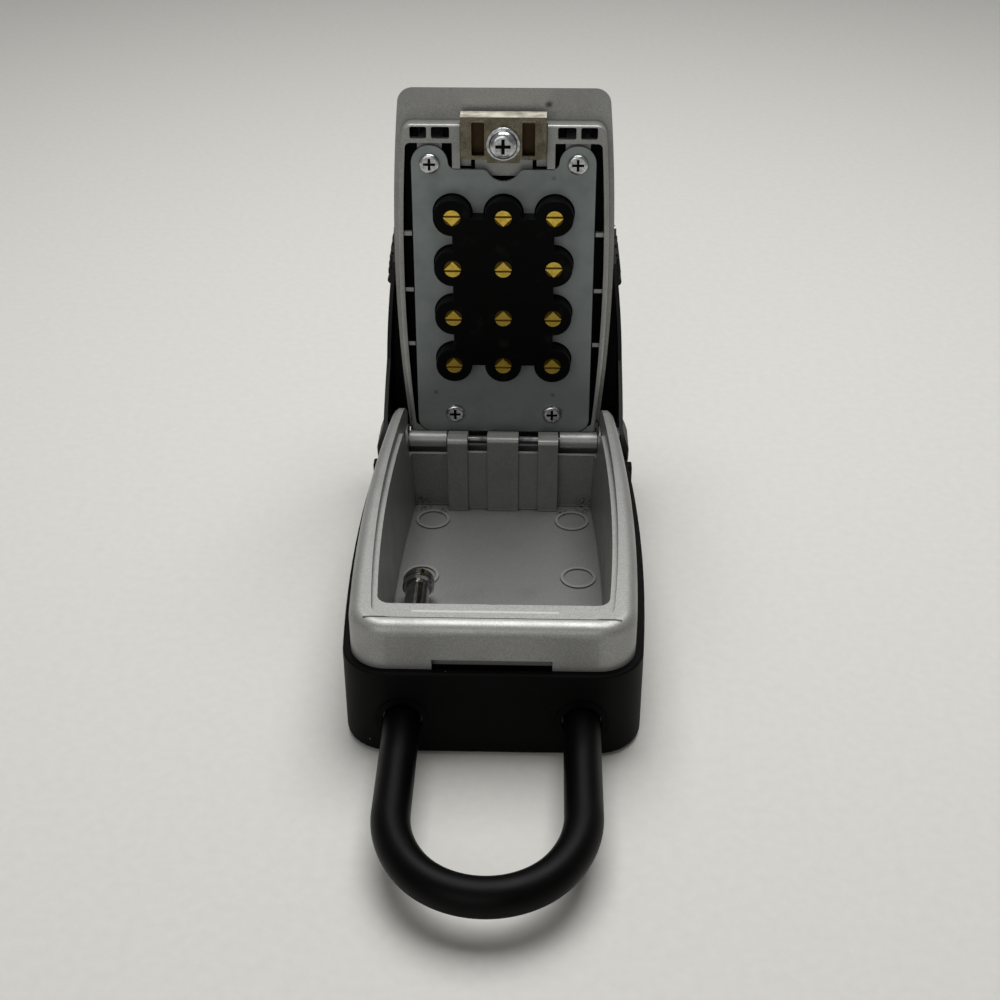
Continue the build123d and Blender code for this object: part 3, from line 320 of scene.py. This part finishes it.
# The lip behind the hinge is painted near black as shade too.
low = add_node(tree, "MapRange", {"Value": height, "From Min": -0.5, "From Max": -1.2})
behind = add_node(tree, "MapRange", {"Value": depth, "From Min": -5.5, "From Max": -6.5})
lip = add_node(tree, "Math", {0: low, 1: behind}, operation="MULTIPLY")
paint = add_node(tree, "Mix", {amount: lip, under: paint, over: "050505"}, **colour_mix)
tree.links.new(paint, shader.inputs["Base Color"])
print("painted finish:", door_paint.name)

# %% [markdown]
# ## Rubber and vinyl
# The tub is moulded rubber with a fine spark-eroded texture, the cover is the same rubber a little
# softer, and the shackle's sleeve is extruded vinyl, which is smoother and shows a long soft
# highlight. All three are filled with carbon black, so they are near black and reflect little. Dust
# settles on rubber, so a few pale specks are added. The mould grain is drawn at half a millimetre,
# coarser than life, so that it shows in the render.

# %% Rubber and vinyl
rubber_ior = 1.5
dust_grey = "6A6860"


def black_soft(name, base, worn, roughness, grain_mm, relief_mm, dust, gloss):
    """Black rubber or vinyl with worn clouds, a grain and a share of dust specks."""
    material, tree, shader = new_material(name, base, 0.0, roughness, gloss)
    shader.inputs["IOR"].default_value = rubber_ior
    point = add_node(tree, "TexCoord", output="Object")
    grain = add_node(tree, "TexNoise", {"Vector": point, "Scale": pattern_scale(grain_mm),
                                        "Detail": 2.0})
    cloud = add_node(tree, "TexNoise", {"Vector": point, "Scale": pattern_scale(18.0),
                                        "Detail": 4.0})
    rubbed = add_node(tree, "MapRange", {"Value": cloud, "From Min": 0.4, "From Max": 0.75,
                                         "To Max": 0.8})
    tone = add_node(tree, "Mix", {amount: rubbed, under: base, over: worn}, **colour_mix)
    specks = dots(tree, point, 6.0, 0.04, dust)
    tone = add_node(tree, "Mix", {amount: specks, under: tone, over: dust_grey}, **colour_mix)
    matt = add_node(tree, "MapRange", {"Value": cloud, "From Min": noise_low,
                                       "From Max": noise_high, "To Min": roughness - 0.06,
                                       "To Max": roughness + 0.06})
    relief = add_node(tree, "Bump", {"Height": grain, "Distance": relief_mm * MM})
    connect(tree, shader, tone, matt, relief)
    return material


tub_rubber = black_soft("moulded_rubber_tub", "020202", "050504", 0.6, 0.5, 0.03, 0.35, 0.08)
cover_rubber = black_soft("moulded_rubber_cover", "060606", "10100F", 0.55, 0.5, 0.03, 0.3, 0.3)
sleeve_vinyl = black_soft("extruded_vinyl_sleeve", "020202", "040404", 0.42, 0.8, 0.02, 0.12,
                          0.08)
print("soft finishes:", tub_rubber.name, cover_rubber.name, sleeve_vinyl.name)

# %% [markdown]
# ## Moulded plastic
# The button carrier, the button caps and the two thumb slides are injection-moulded ABS, IOR 1.53. A
# moulded face is almost smooth, with a wavy sink over its thick places, and handling leaves faint
# greyish rub marks.

# %% Moulded plastic
abs_ior = 1.53
plastic_dust = "4A4A48"


def moulded_abs(name, base, rubbed, roughness, gloss):
    """Black ABS with a wavy sink, rub marks and dust."""
    material, tree, shader = new_material(name, base, 0.0, roughness, gloss)
    shader.inputs["IOR"].default_value = abs_ior
    point = add_node(tree, "TexCoord", output="Object")
    cloud = add_node(tree, "TexNoise", {"Vector": point, "Scale": pattern_scale(6.0),
                                        "Detail": 5.0})
    sink = add_node(tree, "TexNoise", {"Vector": point, "Scale": pattern_scale(1.2),
                                       "Detail": 2.0})
    rub = add_node(tree, "MapRange", {"Value": cloud, "From Min": 0.6, "From Max": 0.74,
                                      "To Max": 0.8})
    tone = add_node(tree, "Mix", {amount: rub, under: base, over: rubbed}, **colour_mix)
    specks = dots(tree, point, 3.5, 0.05, 0.18)
    tone = add_node(tree, "Mix", {amount: specks, under: tone, over: plastic_dust}, **colour_mix)
    matt = add_node(tree, "MapRange", {"Value": cloud, "From Min": noise_low,
                                       "From Max": noise_high, "To Min": roughness - 0.05,
                                       "To Max": roughness + 0.08})
    relief = add_node(tree, "Bump", {"Height": sink, "Distance": 0.012 * MM})
    connect(tree, shader, tone, matt, relief)
    return material


carrier_abs = moulded_abs("moulded_abs_carrier", "020202", "161615", 0.46, 0.06)
button_abs = moulded_abs("moulded_abs_buttons", "121212", "202020", 0.38, 0.4)
print("plastic finishes:", carrier_abs.name, button_abs.name)

# %% [markdown]
# ## Metals
# A metal keeps the default IOR and is told apart by its colour and by how rough it is: bright zinc
# plate on screws, nickel on the latch, turned brass on the dials, a rolled sheet for the plate, and
# polished steel for the shackle's shaft. Turning and rolling leave fine lines, so the relief is noise
# that is drawn out along one direction. The real lines are finer than the render can show, so they
# are drawn about half a millimetre wide.


# %% Plated, rolled and turned metal
def metal(name, base, dull, roughness, cloud_mm, line_mm, stretch, relief_mm, metallic=1.0):
    """A metal with dull clouds and drawn-out lines: its nodes come back for more marks."""
    material, tree, shader = new_material(name, base, metallic, roughness)
    point = add_node(tree, "TexCoord", output="Object")
    cloud = add_node(tree, "TexNoise", {"Vector": point, "Scale": pattern_scale(cloud_mm),
                                        "Detail": 4.0})
    drawn = add_node(tree, "Mapping", {"Vector": point, "Scale": stretch})
    lines = add_node(tree, "TexNoise", {"Vector": drawn, "Scale": pattern_scale(line_mm),
                                        "Detail": 2.0})
    dulled = add_node(tree, "MapRange", {"Value": cloud, "From Min": 0.42, "From Max": 0.72})
    tone = add_node(tree, "Mix", {amount: dulled, under: base, over: dull}, **colour_mix)
    sheen = add_node(tree, "MapRange", {"Value": cloud, "From Min": noise_low,
                                        "From Max": noise_high, "To Min": roughness * 0.8,
                                        "To Max": roughness * 1.25})
    relief = add_node(tree, "Bump", {"Height": lines, "Distance": relief_mm * MM})
    connect(tree, shader, tone, sheen, relief)
    return material, tree, shader, point, tone


polished_steel = metal("polished_steel", "C9C9C8", "8E8C88", 0.12, 5.0, 0.6, (1, 0.1, 1), 0.01)[0]
zinc_plate = metal("bright_zinc_plated_steel", "C4C6C8", "9A9A98", 0.2, 2.0, 0.5, (1, 1, 1),
                   0.02)[0]
plain_steel = metal("rolled_steel_inside", "8F9092", "6B6A67", 0.4, 6.0, 0.5, (1, 1, 0.1),
                    0.01)[0]
pin_steel = metal("drawn_steel_pin", "77777A", "5A5A58", 0.5, 3.0, 0.5, (0.1, 1, 1), 0.01)[0]
spring_wire = metal("drawn_spring_wire", "A5A6A8", "7C7B78", 0.3, 3.0, 0.4, (1, 1, 1), 0.01)[0]
plain_metals = (polished_steel, zinc_plate, plain_steel, pin_steel, spring_wire)
print("plain metals:", [material.name for material in plain_metals])

# %% [markdown]
# ## Screws on the door
# The screws are zinc plated and bright, but the driver recess is deep and narrow, so it is painted
# near black as shade. The recess lies near the screw's axis and below the top of the head, so both
# distances decide where the painted shade goes. The two sizes of screw have their heads at different
# levels, and so a material each.

# %% Screw finishes with dark recesses
recess_shade = "121110"


def recessed_screw(name, head_top, places, reach_mm):
    """Bright zinc that turns dark below the head's top, within a reach of each screw's axis."""
    material, tree, shader, point, tone = metal(name, "CBCDCF", "8E8E8C", 0.22, 1.2, 0.4,
                                                (1, 1, 1), 0.02)
    depth = reach_along(tree, point, door_out, hinge)
    sunk = add_node(tree, "MapRange", {"Value": depth, "From Min": head_top - 0.22,
                                       "From Max": head_top - 0.4})
    # Each driver recess is painted near black as shade.
    for x, up in places:
        recess_middle = on_door(x, up, head_top - 0.5)
        distance = add_node(tree, "VectorMath", {0: point, 1: recess_middle}, output="Value",
                            operation="DISTANCE")
        central = add_node(tree, "MapRange", {"Value": distance, "From Min": (reach_mm + 0.1) * MM,
                                              "From Max": (reach_mm - 0.1) * MM})
        recess = add_node(tree, "Math", {0: sunk, 1: central}, operation="MULTIPLY")
        tone = add_node(tree, "Mix", {amount: recess, under: tone, over: recess_shade},
                        **colour_mix)
    tree.links.new(tone, shader.inputs["Base Color"])
    return material


plate_screw_places = [(side * x, up) for side in (-1, 1) for x, up in ((21.65, 88.4), (15.3, 6.8))]
plate_screw_zinc = recessed_screw("bright_zinc_plate_screws", -3.85, plate_screw_places, 2.0)
latch_screw_zinc = recessed_screw("bright_zinc_latch_screw", 0.6, [(0.0, 95.5)], 2.4)
print("screws:", plate_screw_zinc.name, latch_screw_zinc.name)

# %% [markdown]
# ## Brass code dials
# The dials are turned from brass rod and milled, so the milled top with its arrow is bright, while the
# step round it and the driver slot stay olive with tarnish. The colour follows the depth again: the
# step is half a millimetre lower than the top.

# %% Brass finish
brass, tree, shader, point, tone = metal("turned_brass", "E8C95C", "D2AE45", 0.32, 1.2, 0.3,
                                         (1, 1, 0.2), 0.01)
tarnish_start, tarnish_full = -0.1, -0.3
depth = reach_along(tree, point, door_out, hinge)
lowered = add_node(tree, "MapRange", {"Value": depth, "From Min": tarnish_start,
                                      "From Max": tarnish_full})
tone = add_node(tree, "Mix", {amount: lowered, under: tone, over: "5C4B1A"}, **colour_mix)
tree.links.new(tone, shader.inputs["Base Color"])
print("dials:", brass.name)

# %% [markdown]
# ## The lock plate
# The plate is cold-rolled steel sheet with a dull zinc passivation, which gives a greenish-grey satin.
# A passivated sheet scatters light more than bare metal, so it is only partly metallic. On the real
# plate there are small dark scuffs by the lower corners and one near the top right, and each is
# placed by its distance across and up the door.

# %% Lock plate finish
plate_steel, tree, shader, point, tone = metal("dull_zinc_sheet", "848A89", "7A807F", 0.5, 9.0,
                                               0.5, (1, 1, 0.15), 0.006, metallic=0.6)
plate_face = -5.05
scuff_strength = 0.6
ragged = add_node(tree, "TexNoise", {"Vector": point, "Scale": pattern_scale(1.1), "Detail": 3.0})
plate_scuffs = ((-21.3, 14.1, 1.3), (-28.0, 18.0, 1.0), (17.9, 8.2, 1.4), (14.7, 84.3, 1.1),
                (15.5, 13.5, 1.0))
for x, up, reach in plate_scuffs:
    scuff = stain(tree, point, on_door(x, up, plate_face), reach, ragged)
    faint = add_node(tree, "Math", {0: scuff, 1: scuff_strength}, operation="MULTIPLY")
    tone = add_node(tree, "Mix", {amount: faint, under: tone, over: "3A3D3F"}, **colour_mix)
tree.links.new(tone, shader.inputs["Base Color"])
print("lock plate:", plate_steel.name, "with", len(plate_scuffs), "scuffs")

# %% [markdown]
# ## The latch
# The latch is a sintered steel block with a dull nickel plate, whose pores show as a fine dark grain.
# Its two slots hold old brown grease. A point is in a slot when it is near the slot's middle line,
# between the slot's ends and behind the face, so all three distances decide the colour. The top face
# is painted bright as a highlight from the light above, and is found by the way it faces.

# %% Latch finish with pores and a painted highlight on top
latch_nickel, tree, shader, point, tone = metal("dull_nickel_plate", "7C7665", "5C5748", 0.4, 3.0,
                                                0.5, (1, 1, 1), 0.02)
pores = add_node(tree, "TexNoise", {"Vector": point, "Scale": pattern_scale(0.45), "Detail": 2.0})
porous = add_node(tree, "MapRange", {"Value": pores, "From Min": 0.45, "From Max": 0.7,
                                     "To Max": 0.7})
tone = add_node(tree, "Mix", {amount: porous, under: tone, over: "4A4538"}, **colour_mix)
# The up-facing top is painted bright as a highlight from the light above.
facing_up = add_node(tree, "VectorMath", {0: add_node(tree, "TexCoord", output="Normal"),
                                          1: door_up}, output="Value", operation="DOT_PRODUCT")
top_face_highlight = add_node(tree, "MapRange", {"Value": facing_up, "From Min": 0.6, "From Max": 0.9})
tone = add_node(tree, "Mix", {amount: top_face_highlight, under: tone, over: "E4DFD0"}, **colour_mix)
print("latch:", latch_nickel.name)

# %% Grease in the latch's slots
slot_middle, slot_half, slot_low, slot_high = 7.3, 2.0, 91.7, 101.8
slot_edge = 0.1
latch_face = -1.6
depth = reach_along(tree, point, door_out, hinge)
inside = add_node(tree, "MapRange", {"Value": depth, "From Min": latch_face - 0.3,
                                     "From Max": latch_face - 0.9})
sideways = add_node(tree, "SeparateXYZ", {0: point}, output="X")
from_centre = add_node(tree, "Math", {0: sideways}, operation="ABSOLUTE")
in_width = band(tree, from_centre, (slot_middle - slot_half) * MM,
                (slot_middle + slot_half) * MM, slot_edge * MM)
in_height = band(tree, reach_along(tree, point, door_up, hinge), slot_low, slot_high, slot_edge)
in_slot = add_node(tree, "Math", {0: in_width, 1: in_height}, operation="MULTIPLY")
greased = add_node(tree, "Math", {0: inside, 1: in_slot}, operation="MULTIPLY")
tone = add_node(tree, "Mix", {amount: greased, under: tone, over: "3A2E22"}, **colour_mix)
tree.links.new(tone, shader.inputs["Base Color"])
print("slots are", 2 * slot_half, "mm wide")

# %% [markdown]
# ## Which piece gets which finish
# A piece keeps its own mesh and only its material slots change. Pieces that repeat, such as the twelve
# buttons, are found by the start of their names.

# %% Give each piece its finish
finishes = {
    "bumper": tub_rubber,
    "case": case_paint,
    "hinge_pin": pin_steel,
    "shackle_lock_screw": zinc_plate,
    "shackle_bar": polished_steel,
    "shackle_sleeve": sleeve_vinyl,
    "shackle_collar": polished_steel,
    "shackle_lock_slide": plain_steel,
    "door_shell": door_paint,
    "lock_plate": plate_steel,
    "plate_screws": plate_screw_zinc,
    "button_carrier": carrier_abs,
    "button_spring": spring_wire,
    "latch_spring": spring_wire,
    "latch_bolt": latch_nickel,
    "latch_screw": latch_screw_zinc,
    "slide_plate": plain_steel,
    "release_slide": button_abs,
    "clear_slide": button_abs,
    "push_button": button_abs,
    "code_dial": brass,
    "weather_cover": cover_rubber,
}
for name, piece in nodes.items():
    finish = finishes.get(name) or finishes[name.rstrip("0123456789").rstrip("_")]
    piece.data.materials.clear()
    piece.data.materials.append(finish)
print("finished pieces:", len(nodes))

# %% [markdown]
# ## White ink
# The numerals are pad printed in white ink, which wears in patches where fingers press. Ink on
# plastic has no gloss of its own to speak of, so an even roughness is enough.

# %% White ink
ink_white, ink_worn = "E6E6E1", "B9B8B2"
numeral_paint, tree, shader = new_material("pad_printed_white_ink", ink_white, 0.0, 0.5)
point = add_node(tree, "TexCoord", output="Object")
patches = add_node(tree, "TexNoise", {"Vector": point, "Scale": pattern_scale(1.5),
                                      "Detail": 4.0})
worn = add_node(tree, "MapRange", {"Value": patches, "From Min": 0.45, "From Max": 0.8,
                                   "To Max": 0.5})
ink = add_node(tree, "Mix", {amount: worn, under: ink_white, over: ink_worn}, **colour_mix)
tree.links.new(ink, shader.inputs["Base Color"])
print("ink:", numeral_paint.name)

# %% [markdown]
# ## Numerals on the buttons
# The buttons face the back of the open door. Each has a white numeral, as on a telephone keypad.
# Blender's text objects give clean outlines, and a little thickness lets each numeral stand proud
# of its cap. Seen from the outside, the keypad runs the other way across, so the first button of
# the inside row comes last.

# %% Keypad numerals
column_places = (-15.1, 0.0, 15.1)
row_places = (73.45, 57.6, 41.75, 25.9)
keypad_marks = ("3", "2", "1", "6", "5", "4", "9", "8", "7", "#", "0", "*")
cap_face = -24.6
numeral_size = 6.0
numeral_height = 0.12
facing = Matrix((-Vector((1, 0, 0)), door_up, -door_out)).transposed().to_4x4()
for index, mark in enumerate(keypad_marks):
    text = bpy.data.curves.new(f"numeral_{index + 1}", "FONT")
    text.body = mark
    text.size = numeral_size * MM
    text.extrude = numeral_height * MM / 2
    text.align_x = "CENTER"
    text.align_y = "CENTER"
    numeral = bpy.data.objects.new(f"numeral_{index + 1}", text)
    bpy.context.collection.objects.link(numeral)
    row, column = divmod(index, len(column_places))
    place = on_door(column_places[column], row_places[row], cap_face)
    numeral.matrix_world = Matrix.Translation(place) @ facing
    numeral.data.materials.append(numeral_paint)
    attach(numeral, f"button_{index + 1}")
print("numerals:", len(keypad_marks))

# %% [markdown]
# ## Floor
# The box was photographed on a pale sweep. A curved sheet would have to fit one camera, so a large
# plain floor stands in for the sweep and serves every view. A faint mottle keeps it from looking
# like a flat fill.

# %% Floor
floor_half = 3.0
floor_corners = [(x * floor_half, y * floor_half, 0)
                 for x, y in ((-1, -1), (1, -1), (1, 1), (-1, 1))]
floor_mesh = bpy.data.meshes.new("pale_floor")
floor_mesh.from_pydata(floor_corners, [], [(0, 1, 2, 3)])
floor = bpy.data.objects.new("pale_floor", floor_mesh)
bpy.context.collection.objects.link(floor)
floor_paper, tree, shader = new_material("pale_paper_sweep", "C3C2BD", 0.0, 0.8)
point = add_node(tree, "TexCoord", output="Object")
fibres = add_node(tree, "TexNoise", {"Vector": point, "Scale": pattern_scale(3.0), "Detail": 4.0})
mottle = add_node(tree, "MapRange", {"Value": fibres, "From Min": noise_low,
                                     "From Max": noise_high})
paper = add_node(tree, "Mix", {amount: mottle, under: "C1C0BB", over: "C5C4BF"}, **colour_mix)
tree.links.new(paper, shader.inputs["Base Color"])
floor.data.materials.append(floor_paper)
print("floor is", 2 * floor_half, "m wide")

# %% [markdown]
# ## Light
# The photograph has soft light from above and behind. One wide lamp overhead gives the soft shadow,
# a weaker one in front keeps the near faces readable, and the world fills in the rest, so that a
# colour renders about as written.


# %% Lamps and world
def area_lamp(name, place, target, size, power):
    """A square soft lamp that looks at a point."""
    lamp = bpy.data.lights.new(name, "AREA")
    lamp.energy = power
    lamp.size = size
    holder = bpy.data.objects.new(name, lamp)
    bpy.context.collection.objects.link(holder)
    aim = (Vector(target) - Vector(place)).to_track_quat("-Z", "Y")
    holder.matrix_world = Matrix.Translation(place) @ aim.to_matrix().to_4x4()


area_lamp("overhead_softbox", (0.03, 0.2, 0.75), (0, 0.03, 0.02), 0.6, 7.2)
area_lamp("front_fill", (-0.25, -0.9, 0.5), (0, 0, 0.05), 0.7, 2.2)
world_strength = 0.23
world = bpy.data.worlds.new("studio")
bpy.context.scene.world = world
world.use_nodes = True
background = world.node_tree.nodes["Background"]
background.inputs["Color"].default_value = colour("E8E8E6")
background.inputs["Strength"].default_value = world_strength
bpy.context.scene.view_settings.view_transform = "Standard"

# %% [markdown]
# ## Camera
# The camera stands above the shackle end and looks down at the box. Its place and lens were found by
# matching the edges of the case and the door, so the picture has the same framing as the photograph.

# %% Camera
camera_place = Vector((11.38, -374.47, 282.11)) * MM
camera_aim = Vector((-0.02374, 0.84066, -0.54104))
camera_roll = radians(-0.14)
camera_data = bpy.data.cameras.new("camera")
camera_data.lens = 56.69
camera_data.sensor_width = 36.0
camera_data.shift_x = -0.001
camera = bpy.data.objects.new("camera", camera_data)
bpy.context.collection.objects.link(camera)
turned = camera_aim.to_track_quat("-Z", "Y").to_matrix().to_4x4()
rolled = Matrix.Rotation(camera_roll, 4, "Z")
camera.matrix_world = Matrix.Translation(camera_place) @ turned @ rolled
bpy.context.scene.camera = camera
print("camera is", round(camera_place.length, 3), "m from the origin")
